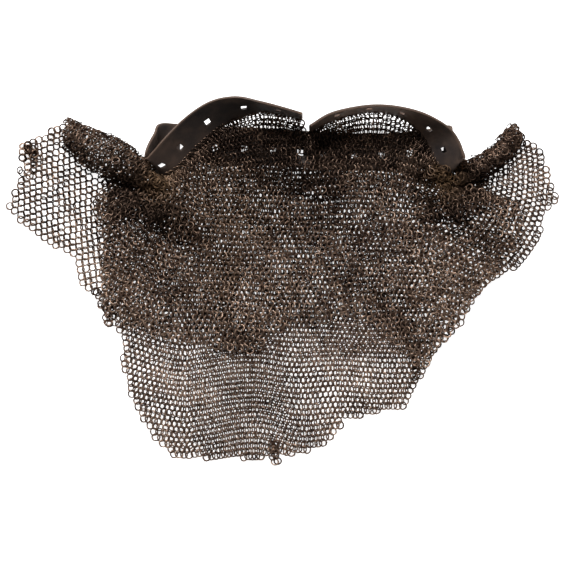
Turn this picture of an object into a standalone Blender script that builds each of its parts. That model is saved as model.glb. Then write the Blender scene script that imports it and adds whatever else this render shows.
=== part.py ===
"""Chainmail aventail: a leather neck strap with a mail curtain, lying flat.

The strap is one long band of leather, open at the centre of the throat. Its
lower edge carries the mail, its upper edge is free and has a row of slots
for the staples of a helmet. The piece lies on its back: the back half of the
strap is flat on the ground, and the front half bows up over it in two arches.

Units: the tables are in millimetres, and MM turns them into metres.
Axes: X along the strap, Y from the hem to the neck, Z up.
"""

import bpy
import bmesh
import numpy as np
from math import cos, radians, sin
from mathutils import Matrix, Vector

MM = 0.001
SHARP_ANGLE = radians(40)

# Neck strap
STRAP_WIDTH = 42.0
STRAP_THICKNESS = 2.4
STRAP_STEP = 7.0           # length of one facet along the strap
STRAP_CROWN = 1.5          # bulge of the band's middle where it stands upright
SLOT_LENGTH = 7.4          # across the band
SLOT_WIDTH = 6.2           # along the band
SLOT_RISE = 17.6           # slot centre above the lower edge
SLOT_DEPTH = 14.0          # of the punch, well over the leather's thickness
PATH_SAMPLES = 1200        # fine steps from which the even ones are read
# The slots were cut by hand, so their spacing along the band is uneven.
SLOT_PLACES = (28, 66, 110, 152, 181, 216, 252, 288, 320, 352, 382,
               408, 441, 472, 503, 540, 574, 607, 636, 672, 708, 744)

# Lower edge of the strap from the left throat end, round the left side,
# along the back, and round the right side to the right throat end.
# bearing: direction of the free edge seen from above, from +X, in degrees.
# lean: its angle above the ground, in degrees.
# Columns: x, y, z, bearing, lean
STRAP_STATIONS = (
    (22, 172, 10, 60, 86),
    (-2, 179, 14, 80, 83),
    (-25, 184, 17, 95, 82),
    (-47, 179, 18, 108, 66),
    (-67, 169, 17, 121, 53),
    (-85, 155, 15, 138, 47),
    (-102, 138, 13, 151, 44),
    (-117, 123, 12, 162, 43),
    (-131, 116, 11, 142, 54),
    (-141, 121, 9, 106, 54),
    (-139, 134, 6, 85, 30),
    (-120, 133, 2, 87, 9),
    (-76, 131, 1.2, 90, 0),
    (-28, 129, 1.2, 90, 0),
    (19, 126, 1.2, 90, 0),
    (69, 123, 1.2, 90, 0),
    (118, 123, 1.2, 90, 0),
    (160, 127, 2, 90, 6),
    (181, 132, 5, 86, 26),
    (188, 121, 8, 72, 46),
    (181, 114, 10, 40, 56),
    (168, 131, 12, 14, 44),
    (160, 148, 13, 20, 46),
    (150, 163, 15, 36, 58),
    (134, 178, 17, 58, 76),
    (107, 186, 18, 78, 83),
    (80, 184, 17, 92, 83),
    (52, 176, 14, 104, 81),
    (30, 167, 10, 118, 84),
)

# Mail
MAIL_THICKNESS = 3.6       # of the woven rings, which lean against each other
LAYER_GAP = 1.0            # between two layers that lie on each other
EDGE_GAP = 1.0             # between the strap's lower edge and the mail
BACK_COLUMNS = 46
FRONT_COLUMNS = 38
ROWS_PER_SECTION = 2
PUFF_REACH = 80.0          # how far the strap holds the front mail off the back

# Top edge of the back layer on both sides of the strap, from left to right.
# Columns: x, y
BACK_TOP_LEFT = ((-240, 180), (-141, 128))
BACK_TOP_RIGHT = ((186, 119), (257, 168))

# Sections across the back layer, from the strap down to the hem. Each runs
# from the left edge to the right edge, and its middle lies rise above the
# straight line between them.
# Columns: left_x, left_y, right_x, right_y, rise
BACK_SECTIONS = (
    (-291, 150, 287, 146, -43),
    (-289, 121, 296, 114, -29),
    (-308, 81, 308, 92, -23),
    (-273, 49, 288, 66, -17),
    (-228, 24, 285, 44, -15),
    (-225, -3, 268, 17, -13),
    (-196, -36, 225, -3, -12),
    (-178, -63, 200, -45, -7),
    (-177, -94, 170, -78, -4),
    (-170, -124, 148, -113, -3),
    (-159, -148, 137, -141, -2),
    (-146, -168, 70, -155, -8),
    (-122, -195, 47, -185, -8),
)

# Sections across the front layer below the strap, in the same way.
# Columns: left_x, left_y, right_x, right_y, rise
FRONT_SECTIONS = (
    (-165, 95, 212, 100, 43),
    (-203, 72, 261, 89, 29),
    (-203, 39, 269, 45, 30),
    (-201, 6, 245, 17, 23),
    (-196, -23, 217, -12, 14),
)
# Lower edge of the front layer, which hangs in two uneven lobes.
# Columns: x, y
FRONT_HEM = (
    (-173, -50), (-135, -65), (-91, -72), (-47, -84), (-25, -79), (-6, -61),
    (41, -51), (69, -43), (96, -50), (129, -76), (152, -98), (170, -80),
)

# Ridges pressed up in the mail, each along a straight line seen from above.
# Columns: x0, y0, x1, y1, height, width
BACK_RIDGES = (
    (-290, 140, -245, 60, 3, 18),
    (-262, 100, -230, 30, 2, 18),
    (300, 130, 265, 40, 6, 20),
    (-150, -110, -60, -150, 3, 20),
    (20, -100, 110, -125, 3, 20),
)
FRONT_RIDGES = (
    (-120, 100, -175, 20, 7, 13),
    (-80, 95, -120, 10, 5, 14),
    (-190, 60, -190, -20, 6, 10),
    (15, 130, 5, 40, 5, 9),
    (35, 130, 30, 40, 4, 9),
    (70, 100, 20, 60, 6, 12),
    (175, 110, 205, 40, 8, 13),
    (215, 100, 240, 40, 8, 12),
    (110, 60, 150, -30, 4, 18),
)

# Slit at the centre of the throat, which parts the front layer
SLIT_X = 23.0
SLIT_WIDTH = 8.0           # at the strap
SLIT_END_WIDTH = 1.0       # at its lower end
SLIT_ROWS = 4              # rows of the front layer's grid that it runs through

# Thick folds at the shoulders, each from the strap out to the wing's corner.
# outer: foot of the fold on the ground side; inner: its raised lip.
# Columns: outer_x, outer_y, inner_x, inner_y, height
FOLD_LEFT = (
    (-147, 117, -124, 97, 20),
    (-156, 134, -142, 98, 22),
    (-176, 153, -168, 104, 22),
    (-196, 163, -197, 114, 20),
    (-218, 171, -220, 130, 16),
    (-238, 180, -240, 150, 11),
)
FOLD_RIGHT = (
    (201, 121, 186, 101, 19),
    (211, 135, 212, 109, 19),
    (227, 144, 234, 121, 18),
    (241, 156, 251, 136, 17),
    (251, 172, 265, 157, 13),
)
FOLD_TURN = 126.0          # degrees round the fold, from its outer foot to its lip
FOLD_FACETS = 8
FOLD_STEPS_PER_SECTION = 4

LEATHER_COLOUR = (0.030, 0.020, 0.017, 1)
MAIL_COLOUR = (0.045, 0.033, 0.027, 1)


def clear_scene():
    for thing in list(bpy.data.objects):
        bpy.data.objects.remove(thing, do_unlink=True)


def make_material(name, colour, roughness, metallic):
    material = bpy.data.materials.new(name)
    material.use_nodes = True
    shader = material.node_tree.nodes["Principled BSDF"]
    shader.inputs["Base Color"].default_value = colour
    shader.inputs["Roughness"].default_value = roughness
    shader.inputs["Metallic"].default_value = metallic
    return material


def make_object(name, points, faces, material):
    """One closed mesh object from points in millimetres."""
    mesh = bpy.data.meshes.new(name)
    mesh.from_pydata([tuple(point) for point in np.asarray(points) * MM], [], faces)
    mesh.materials.append(material)
    shape = bmesh.new()
    shape.from_mesh(mesh)
    if shape.calc_volume(signed=True) < 0:
        bmesh.ops.reverse_faces(shape, faces=shape.faces)
    shape.to_mesh(mesh)
    shape.free()
    mesh.shade_smooth()
    mesh.set_sharp_from_angle(angle=SHARP_ANGLE)
    thing = bpy.data.objects.new(name, mesh)
    bpy.context.scene.collection.objects.link(thing)
    return thing


def smooth_path(stations, places):
    """Catmull-Rom spline through the rows of stations, read at places."""
    rows = np.asarray(stations, dtype=float)
    padded = np.vstack([2 * rows[0] - rows[1], rows, 2 * rows[-1] - rows[-2]])
    places = np.clip(np.asarray(places, dtype=float), 0, len(rows) - 1 - 1e-9)
    first = places.astype(int)
    t = (places - first)[:, None]
    a, b, c, d = (padded[first + k] for k in range(4))
    return 0.5 * (2 * b + (c - a) * t + (2 * a - 5 * b + 4 * c - d) * t ** 2
                  + (3 * b - a - 3 * c + d) * t ** 3)


def wall_faces(columns, rows, gap=()):
    """Quads of a closed wall: an upper and a lower grid, joined round the rim.

    The cells in gap stay open, and the rim follows them too.
    """
    def upper(corner):
        return corner[0] * rows + corner[1]

    def lower(corner):
        return columns * rows + upper(corner)

    faces = []
    rim = {}
    for i in range(columns - 1):
        for j in range(rows - 1):
            if (i, j) in gap:
                continue
            corners = [(i, j), (i + 1, j), (i + 1, j + 1), (i, j + 1)]
            faces.append([upper(corner) for corner in corners])
            faces.append([lower(corner) for corner in reversed(corners)])
            for here, there in zip(corners, corners[1:] + corners[:1]):
                if (there, here) in rim:
                    del rim[there, here]
                else:
                    rim[here, there] = True
    for here, there in rim:
        faces.append([upper(there), upper(here), lower(here), lower(there)])
    return faces


# ---------------------------------------------------------------- neck strap

def strap_frame():
    """Lower edge, width direction and face normal at even steps, and the length."""
    fine = np.linspace(0, len(STRAP_STATIONS) - 1, PATH_SAMPLES)
    x, y, z, bearing, lean = np.array(STRAP_STATIONS, dtype=float).T
    bearing, lean = np.radians(bearing), np.radians(lean)
    across = np.column_stack([np.cos(bearing) * np.cos(lean),
                              np.sin(bearing) * np.cos(lean), np.sin(lean)])
    across = smooth_path(across, fine)
    across[:, 2] = np.maximum(across[:, 2], 0)
    edge = smooth_path(np.column_stack([x, y, z]), fine)
    edge[:, 2] = np.maximum(edge[:, 2], 0.5 * STRAP_THICKNESS)
    steps = np.linalg.norm(np.diff(edge + 0.5 * STRAP_WIDTH * across, axis=0), axis=1)
    length = np.concatenate([[0], np.cumsum(steps)])
    even = np.linspace(0, length[-1], int(length[-1] / STRAP_STEP) + 1)
    edge = np.column_stack([np.interp(even, length, edge[:, k]) for k in range(3)])
    across = np.column_stack([np.interp(even, length, across[:, k]) for k in range(3)])
    across /= np.linalg.norm(across, axis=1)[:, None]
    along = np.gradient(edge + 0.5 * STRAP_WIDTH * across, axis=0)
    normal = np.cross(along, across)
    normal /= np.linalg.norm(normal, axis=1)[:, None]
    return edge, across, normal, length[-1]


def make_strap(material):
    """The band of leather; returns its lower edge and the way out from it."""
    edge, across, normal, total = strap_frame()
    shares = (0, 0.5, 1)
    outside, inside = [], []
    for foot, up, out in zip(edge, across, normal):
        for share in shares:
            crown = STRAP_CROWN * up[2] * (1 - (2 * share - 1) ** 2)
            middle = foot + share * STRAP_WIDTH * up + crown * out
            outside.append(middle + 0.5 * STRAP_THICKNESS * out)
            inside.append(middle - 0.5 * STRAP_THICKNESS * out)
    faces = wall_faces(len(edge), len(shares))
    strap = make_object("neck_strap", outside + inside, faces, material)
    cut_slots(strap, edge, across, normal, total)
    away = -across[:, :2] / np.linalg.norm(across[:, :2], axis=1)[:, None]
    return edge, away


def cut_slots(strap, edge, across, normal, total):
    """A row of rectangular staple slots, cut square through the band."""
    shape = bmesh.new()
    even = np.linspace(0, total, len(edge))
    for place in SLOT_PLACES:
        foot, up, out = (Vector([np.interp(place, even, part[:, k]) for k in range(3)])
                         for part in (edge, across, normal))
        side = up.cross(out).normalized()
        turn = Matrix((side, up, out)).transposed().to_4x4()
        centre = (foot + SLOT_RISE * up) * MM
        size = Matrix.Diagonal((SLOT_WIDTH * MM, SLOT_LENGTH * MM, SLOT_DEPTH * MM, 1))
        bmesh.ops.create_cube(shape, size=1, matrix=Matrix.Translation(centre) @ turn @ size)
    mesh = bpy.data.meshes.new("slot_cutter")
    bmesh.ops.recalc_face_normals(shape, faces=shape.faces)
    shape.to_mesh(mesh)
    shape.free()
    cutter = bpy.data.objects.new("slot_cutter", mesh)
    bpy.context.scene.collection.objects.link(cutter)
    cutter.hide_render = True
    cutter.display_type = "WIRE"
    cut = strap.modifiers.new("slots", "BOOLEAN")
    cut.operation = "DIFFERENCE"
    cut.object = cutter
    cut.solver = "EXACT"


# ---------------------------------------------------------------------- mail

def ridges_at(x, y, ridges):
    """Height of the ridges at the points x, y."""
    height = np.zeros_like(x)
    for x0, y0, x1, y1, top, width in ridges:
        dx, dy = x1 - x0, y1 - y0
        share = np.clip(((x - x0) * dx + (y - y0) * dy) / (dx * dx + dy * dy), 0, 1)
        away = np.hypot(x - x0 - share * dx, y - y0 - share * dy)
        height = height + top * np.exp(-(away / width) ** 2)
    return height


def back_height(x, y):
    """Middle of the back layer, which lies on the ground in soft waves."""
    wave = 0.8 * (1 + np.sin(x / 21) * np.cos(y / 27))
    return 0.5 * MAIL_THICKNESS + wave + ridges_at(x, y, BACK_RIDGES)


def front_height(x, y):
    """Middle of the front layer where it rests on the back layer."""
    wave = 1.0 + np.sin(x / 24 + 1) * np.cos(y / 19)
    return back_height(x, y) + MAIL_THICKNESS + LAYER_GAP + wave + ridges_at(x, y, FRONT_RIDGES)


def section(left_x, left_y, right_x, right_y, rise, shares):
    """Points of one section: a shallow arc between its two ends."""
    x = left_x + (right_x - left_x) * shares
    y = left_y + (right_y - left_y) * shares + rise * (1 - (2 * shares - 1) ** 2)
    return np.column_stack([x, y])


def fill_rows(sections, per_section):
    """Straight runs between neighbouring sections."""
    rows = [sections[0]]
    for above, below in zip(sections, sections[1:]):
        for k in range(1, per_section + 1):
            rows.append(above + (below - above) * k / per_section)
    return np.array(rows)


def make_sheet(name, plan, height, material, gap=()):
    """A mail wall over the plan grid, with its middle at the given height."""
    middle = np.dstack([plan, height])
    half = np.array([0, 0, 0.5 * MAIL_THICKNESS])
    rows, columns = height.shape
    top = (middle + half).transpose(1, 0, 2).reshape(-1, 3)
    bottom = (middle - half).transpose(1, 0, 2).reshape(-1, 3)
    make_object(name, np.vstack([top, bottom]), wall_faces(columns, rows, gap), material)


def make_back(strap_edge, material):
    """The back layer: hangs from the strap's back and spreads into two wings."""
    shares = np.linspace(0, 1, BACK_COLUMNS)
    flat = strap_edge[strap_edge[:, 2] < STRAP_THICKNESS]
    flat = flat[np.argsort(flat[:, 0])]
    top_edge = np.vstack([BACK_TOP_LEFT, flat[:, :2], BACK_TOP_RIGHT])
    x = BACK_TOP_LEFT[0][0] + (BACK_TOP_RIGHT[-1][0] - BACK_TOP_LEFT[0][0]) * shares
    y = np.interp(x, top_edge[:, 0], top_edge[:, 1]) - EDGE_GAP
    sections = [np.column_stack([x, y])]
    sections += [section(*row, shares) for row in BACK_SECTIONS]
    plan = fill_rows(sections, ROWS_PER_SECTION)
    height = back_height(plan[..., 0], plan[..., 1])
    make_sheet("mail_back", plan, height, material)


def make_front(strap_edge, away, material):
    """The front layer: hangs from both arches and lies on the back layer."""
    shares = np.linspace(0, 1, FRONT_COLUMNS)
    hung = strap_edge.copy()
    hung[:, :2] += away * (EDGE_GAP + 0.5 * STRAP_THICKNESS)
    y_left = np.where(strap_edge[:, 0] < 0, strap_edge[:, 1], np.inf)
    y_right = np.where(strap_edge[:, 0] > 0, strap_edge[:, 1], np.inf)
    arches = (hung[:np.argmin(y_left) + 1][::-1], hung[np.argmin(y_right):][::-1])
    top = np.vstack([smooth_path(arch, np.linspace(0, len(arch) - 1, FRONT_COLUMNS // 2))
                     for arch in arches])
    sections = [top[:, :2]]
    sections += [section(*row, shares) for row in FRONT_SECTIONS]
    sections.append(smooth_path(FRONT_HEM, shares * (len(FRONT_HEM) - 1)))
    plan = fill_rows(sections, ROWS_PER_SECTION)
    gap = open_slit(plan)
    height = front_height(plan[..., 0], plan[..., 1])
    below = np.hypot(*(plan - plan[:1]).transpose(2, 0, 1))
    hold = np.clip(1 - below / PUFF_REACH, 0, 1)
    hold = hold * hold * (3 - 2 * hold)
    height = np.maximum(height, height + (top[:, 2] - height) * hold)
    make_sheet("mail_front", plan, height, material, gap)


def open_slit(plan):
    """Draws the two middle columns of the plan up to the slit; returns its cells."""
    right = FRONT_COLUMNS // 2
    widths = np.linspace(SLIT_WIDTH, SLIT_END_WIDTH, SLIT_ROWS + 1)
    for row in range(1, SLIT_ROWS + 1):
        plan[row, right - 1, 0] = SLIT_X - 0.5 * widths[row]
        plan[row, right, 0] = SLIT_X + 0.5 * widths[row]
    return [(right - 1, row) for row in range(SLIT_ROWS)]


def make_fold(name, sections, material):
    """A rolled fold: an arched wall from its outer foot over to its lip."""
    places = np.linspace(0, len(sections) - 1, (len(sections) - 1) * FOLD_STEPS_PER_SECTION + 1)
    rows = smooth_path(sections, places)
    angles = np.radians(np.linspace(0, FOLD_TURN, FOLD_FACETS + 1))
    upper, lower = [], []
    for outer_x, outer_y, inner_x, inner_y, top in rows:
        outer = np.array([outer_x, outer_y])
        reach = np.array([inner_x, inner_y]) - outer
        width = np.linalg.norm(reach)
        for points, inset in ((upper, 0), (lower, MAIL_THICKNESS)):
            for angle in angles:
                share = 0.5 - (0.5 - inset / width) * cos(angle)
                x, y = outer + share * reach
                ground = float(back_height(x, y)) + 0.5 * MAIL_THICKNESS + LAYER_GAP
                points.append((x, y, ground + (top - inset) * sin(angle)))
    make_object(name, upper + lower, wall_faces(len(rows), len(angles)), material)


def set_on_ground():
    """Parents all to one empty, so that the whole stands centred on the origin."""
    origin = bpy.data.objects.new("aventail", None)
    bpy.context.scene.collection.objects.link(origin)
    corners = []
    for thing in bpy.context.scene.objects:
        if thing.type == "MESH":
            thing.parent = origin
            if not thing.hide_render:
                corners += [corner.co for corner in thing.data.vertices]
    low, high = np.min(corners, axis=0), np.max(corners, axis=0)
    origin.location = (-0.5 * (low[0] + high[0]), -0.5 * (low[1] + high[1]), -low[2])


def main():
    clear_scene()
    leather = make_material("leather", LEATHER_COLOUR, 0.5, 0.0)
    mail = make_material("mail", MAIL_COLOUR, 0.5, 0.8)
    strap_edge, away = make_strap(leather)
    make_back(strap_edge, mail)
    make_front(strap_edge, away, mail)
    make_fold("mail_fold_left", FOLD_LEFT, mail)
    make_fold("mail_fold_right", FOLD_RIGHT, mail)
    set_on_ground()


main()
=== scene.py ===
"""Chainmail aventail: the rings, the leather strap, and the light they lie in.

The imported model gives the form. Its four mail solids are walls that show where
the sheets of mail lie; here each is filled with interlinked iron rings in the
European four-in-one weave. Its strap is replaced by one with worn, rounded edges.

Units: lengths are in millimetres up to the point where meshes are made, and MM
turns them into metres. Axes: X along the strap, Y from the hem to the neck, Z up.
"""

from math import cos, pi, radians, sin, tan

import bpy
import numpy as np
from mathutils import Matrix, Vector
from mathutils.bvhtree import BVHTree
from mathutils.kdtree import KDTree


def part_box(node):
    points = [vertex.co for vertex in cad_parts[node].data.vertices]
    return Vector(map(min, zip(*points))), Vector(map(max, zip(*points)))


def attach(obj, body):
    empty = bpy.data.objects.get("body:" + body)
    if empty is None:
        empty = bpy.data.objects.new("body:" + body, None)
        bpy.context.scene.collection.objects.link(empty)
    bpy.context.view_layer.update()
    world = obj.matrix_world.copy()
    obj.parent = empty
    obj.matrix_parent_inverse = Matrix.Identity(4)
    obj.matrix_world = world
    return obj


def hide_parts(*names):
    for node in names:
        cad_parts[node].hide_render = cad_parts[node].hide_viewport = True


MM = 0.001
SEED = 1380                # each part of the mail adds its own
BACK_SEED = 1
FRONT_SEED = 2
LEFT_FOLD_SEED = 31
RIGHT_FOLD_SEED = 32

# Camera, floor and light
CAMERA_ELEVATION = 82.0    # degrees above the floor
CAMERA_DISTANCE = 4.0      # metres
CAMERA_LENS = 229.7
CAMERA_TARGET = (0.00275, -0.0032, 0.0)  # metres
FLOOR_DROP = 0.4           # floor below the lowest ring
FLOOR_WHITE = 0.9
# Columns: name, place in metres, size in metres, power
LAMPS = (
    ("key", (-0.4, 1.5, 1.9), 0.7, 72),
    ("fill", (0.6, -0.6, 2.2), 1.6, 6),
)

# Materials. The ramps run from the darkest places to the palest
IRON_RAMP = (
    (0.0, (0.034, 0.022, 0.017)),
    (0.45, (0.165, 0.108, 0.079)),
    (1.0, (0.380, 0.265, 0.195)),
)
IRON_GLINT = (0.12, 0.10, 0.09)
IRON_ROUGHNESS = 0.22
PATINA = 0.25              # how much brighter its spots make a ring
PITTING = 0.3              # how much rougher its pits are
RUST = (0.16, 0.095, 0.045)
RUST_COVER = 0.35          # where the iron has no pits
RUST_ROUGHNESS = 0.3       # more than the iron's
LEATHER_RAMP = (
    (0.25, (0.024, 0.021, 0.022)),
    (0.50, (0.054, 0.040, 0.034)),
    (0.75, (0.115, 0.076, 0.057)),
)
# colour of the painted sheen
LEATHER_SHEEN = (0.42, 0.265, 0.19)
LEATHER_WORN = (0.115, 0.075, 0.055)
LEATHER_FRAYED = (0.20, 0.125, 0.075)
LEATHER_ROUGHNESS = 0.38
STAINED_ROUGHNESS = 0.3    # how much rougher the palest places are
WORN_COVER = 0.4           # of the edges, where the leather is darkest

# Single rings
WIRE_WIDTH = 1.65          # of the 1.2 mm wire once it is hammered flat
WIRE_THICKNESS = 0.95
WIRE_SPREAD = 0.06         # from ring to ring, as a share, like the next spreads
RING_RADIUS = 4.0          # to the middle of the wire
RADIUS_SPREAD = 0.02
OVAL_SPREAD = 0.04
LAP = 0.3                  # how much thicker the wire is where its ends overlap
LAP_REACH = 0.4            # in radians round the ring
RING_STEPS = 12            # facets round the ring
WIRE_STEPS = 4             # facets round the wire
RINGS_PER_PIECE = 2000

# How rings lie on a wall
LEAN = 21.0                # of a ring against its sheet, in degrees
LEAN_SPREAD = 4.5
JITTER = 0.25
SLACK = (-1.2, 0.8)        # added to a row's margin, so that edges end raggedly
RIM = 5.0                  # rings less than this inside their margin lie flatter
RIM_LEAN = 0.5             # and keep this share of their lean
LINK_REACH = 7.6           # furthest apart that two linked rings are
LEAST_LINKS = 2            # rings with fewer are left out
LINK_BATCH = 500           # rings that are compared with all others at a time
SLOPE_STEP = 2.5           # how far round a ring the slope of its wall is felt
RAY_START = 5.0            # how far outside a wall its rays start
WALL_PROBES = 8            # places round a ring where its wall is looked for
# Where a ring without a margin looks for its wall: how far aside, and towards the hem
NEAR_PLACES = ((0, 0), (0, 2), (0, 4), (0, 6), (4, 0), (-4, 0), (7, 0), (-7, 0))

# Waves that loose mail lies in, and short ruffles of crowded mail: first those that
# shift rings along X, then along Y. Columns: run along X and Y in one radian, height
WAVES = (
    ((37, 53, 1.0), (-61, 23, 0.7), (15, 19, 0.4)),
    ((29, -71, 1.0), (17, 47, 0.7), (-21, 13, 0.3)),
)
RUFFLES = (
    ((6.1, 9.3, 1.0), (8.7, -5.2, 1.0)),
    ((7.3, -8.1, 1.0), (10.9, 5.9, 1.0)),
)
RUFFLE_PHASES = (1, 2, 3, 5)  # those of WAVES are drawn

# Back weave. Its rows run straight between two corners and swing round them.
BACK_ROWS = 60
ROW_PITCH = 5.65           # from row to row
BACK_MARGIN = 3.4          # how far ring centres stay inside the wall
BACK_LEFT = (-100, 131)
BACK_RIGHT = (140, 125)
# Columns: x, pitch along the row there
BACK_PITCHES = ((-100, 5.1), (-58, 4.7), (-10, 4.9), (41, 5.1), (140, 5.2))
# How the rows rise and fall near the hem. Columns: x, height
HEM_WAVE = ((-190, 8), (-146, 4), (-114, 0), (-32, 9), (20, 4), (75, 9), (150, 7), (200, 7))
HEM_WAVE_SAMPLES = 60
HEM_WAVE_TOP = -30         # it begins below this y
HEM_WAVE_FADE = 60         # and is full this much further down
# Seams of the fans at both corners, degrees from straight down
LEFT_SEAMS = (0, 17, 38, 55, 80, 104)
LEFT_FAN_PITCH = 5.3
RIGHT_SEAMS = (0, 22, 37, 58, 74, 96, 118)
RIGHT_FAN_PITCH = 5.7
SMALLEST_FAN = 20          # rows nearer a corner have as many rings as one this far
BACK_WAVES_SEED = 11
BACK_WAVES = 1.3           # height of the waves

# Left wing: step along a row, step to the next row, and how the weave bends
WING_CORNER = (-196, -12)  # it lies left of and above this place
WING_CENTRE = (-245, 80)
WING_ALONG = (6.4, -4.7)
WING_DOWN = (-3.1, -4.2)
WING_STEPS = 30            # rows, and rings of a row, on each side of the centre
WING_BEND = 8.0            # degrees
WING_BEND_REACH = 100      # in this distance
WING_LEAN = 18.0
WING_WAVES_SEED = 12
WING_WAVES = 1.0
WING_RUFFLE = 0.4

# Front weave: sections from edge to edge that rise above the straight line and
# dip at the throat's middle, and the rows of rings that lead down to each.
# Columns: left_x, left_y, right_x, right_y, rise, dip, rows
FRONT_ROWS = (
    (-165, 95, 212, 100, 43, 0, 9),
    (-203, 62, 261, 79, 39, 8, 7),
    (-206, 24, 268, 33, 48, 16, 7),
    (-209, -14, 258, -3, 46, 24, 8),
    (-211, -52, 254, -40, 42, 32, 8),
    (-212, -150, 252, -150, 30, 40, 20),
)
DIP_REACH = 0.16           # half width of the dip, as a share of the row
LEFT_COLUMNS = 41          # rings in a row left of the throat
RIGHT_COLUMNS = (42, 43)   # and right of it, below the strap and further down
RIGHT_SPREAD = 1.3         # how much wider apart they hang at the right arch's far end
WIDENING_ROWS = (6, 16)    # between these rows the mail widens and comes to lie loose
FRONT_LEAN = 25.0
FRONT_LOOSE = 2.0          # how much less orderly its rings then lie than the back's
CROWDED_ROWS = 16          # the rows below the arches that lie close together
CROWDED_LEAN = 8.0         # how much more the rings lean at the top of them
TOP_MARGIN = 1.2           # as BACK_MARGIN, down to the first section
FRONT_MARGIN = 2.6         # and below it
SLIT_REACH = 9.0           # mail this near the middle of the throat closes the slit
SLIT_PULL = 0.3            # and moves at most this share of its way to the middle
FRONT_WAVES_SEED = 21
FRONT_WAVES = 0.9
FRONT_RUFFLE = 0.55
RUFFLE_START = 3           # the ruffles begin at this row
RUFFLE_ROWS = 7            # and reach their full height this many rows further

# First row of the front, whose rings pass through the leather
HANGING_LEAN = 22.0
HANGING_LEAN_SPREAD = 5.0
HANGING_OUT = 1.5          # how far before the middle of the leather they lie
HANGING_UP = 0.25          # how much their normals are turned up
HANGING_JITTER = 0.3

# Folds at the shoulders. Columns as in the solid:
# outer_x, outer_y, inner_x, inner_y, height
FOLD_LEFT = (
    (-147, 117, -124, 97, 20),
    (-156, 134, -142, 98, 22),
    (-176, 153, -168, 104, 22),
    (-196, 163, -197, 114, 20),
    (-218, 171, -220, 130, 16),
    (-238, 180, -240, 150, 11),
)
FOLD_RIGHT = (
    (201, 121, 186, 101, 19),
    (211, 135, 212, 109, 19),
    (227, 144, 234, 121, 18),
    (241, 156, 251, 136, 17),
    (251, 172, 265, 157, 13),
)
FOLD_TURN = 158.0          # degrees round the fold, to under its lip
FOLD_ARC = 46.0            # length of that turn
FOLD_PITCH = 4.3
FOLD_ROW_PITCH = 4.0
FOLD_SAMPLES = 200         # along a fold's path
FOLD_JITTER = 0.9
FOLD_LEAN_SPREAD = 9.0
FOLD_UP = 0.25             # how much the normals are turned up
FOLD_SINK = 1.8            # ring centres lie this far inside the solid's height
FOLD_LIFT = 1.0            # and are lifted this far off the mail below
FOLD_LEAST_RISE = 1.5      # at a fold's foot and under its lip
FOLD_RISE_SPREAD = 0.5
FOLD_BARE_FLOOR = 4.0      # height to lie on where there is no mail below

# Tangled rings. Columns: x, y, long and short reach, turn, lowest and highest z, count
HEAPS = (
    (-281, 136, 20, 10, 70, 5, 8, 17),
    (-193, -36, 26, 10, -60, 5, 8, 18),
    (-9, -187, 12, 5, 90, 5, 10, 13),
    (-146, 130, 10, 7, 60, 5, 20, 26),
    (193, 124, 12, 9, 35, 5, 22, 34),
    (172, 117, 22, 7, -12, 17, 22, 44),
)
HEAP_SPREAD = 0.5          # of their places, as a share of the reach
HEAP_TILT = 0.5            # of their normals

# Mail doubled on itself. Columns: x, y, long and short reach, turn, turn of the rows, lift
DOUBLINGS = (
    (-180, 93, 34, 19, 48, -30, 3.0),
    (-148, 86, 42, 20, -14, -12, 3.0),
    (-122, 64, 34, 14, -30, -8, 2.0),
    (200, 100, 34, 24, 70, 25, 3.0),
    (176, 84, 34, 14, 20, 12, 2.0),
    (48, 111, 32, 18, 0, 8, 2.0),
)
DOUBLING_STEPS = 12        # rows, and rings of a row, on each side of the middle
DOUBLING_PITCH = 5.2
DOUBLING_JITTER = 0.5
DOUBLING_LEAN_SPREAD = 7.0

# Tint of the iron, from 0 for the darkest ring to 1 for the brightest
BACK_TINT = 0.30
FRONT_TINT = 0.54
FOLD_TINT = 0.37
TINT_SPREAD = 0.17
BROAD_TINT = 0.125         # how much brighter and darker it turns over the mail
BROAD_REACH = (31, 37)     # along X and Y in one radian, as are the narrow changes
BROAD_PHASE = 2
NARROW_TINT = 0.075
NARROW_REACH = (17, 11)
HEM_LIGHT = 0.22           # painted light: how much brighter the hem is
HEM_LIGHT_TOP = 80         # that begins below this y
HEM_LIGHT_REACH = 120      # and is full this much further down
DEPTH_SHADE = 0.34         # painted shade on mail that lies under other mail
DEPTH_REACH = 3.6          # rings this near, seen from above, lie over one another
DEPTH_START = 1.2          # how deep the shade begins
DEPTH_RANGE = 2.4          # and how much deeper it is full
# Painted shade: rings painted darker where shadow falls on the mail, below the strap's arches,
# under the folds and where mail lies crowded. Columns: x, y, reach along x and along y, amount
PAINTED_SHADES = (
    (-60, 152, 110, 26, 0.56),
    (100, 150, 90, 30, 0.48),
    (25, 114, 70, 26, 0.54),
    (20, 150, 34, 30, 0.66),
    (-130, 66, 52, 30, 0.50),
    (47, 111, 36, 26, 0.64),
    (50, 72, 60, 26, 0.22),
    (186, 82, 36, 42, 0.34),
    (-160, 118, 42, 36, 0.25),
    (-168, 98, 26, 12, 0.50),
    (-140, 74, 46, 17, 0.58),
    (230, 140, 45, 30, 0.15),
)
# Rust. Columns: x, y, size, amount
RUST_SPOTS = (
    (-134, 108, 20, 0.7),
    (180, 110, 20, 0.6),
    (-60, 60, 60, 0.15),
)

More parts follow.
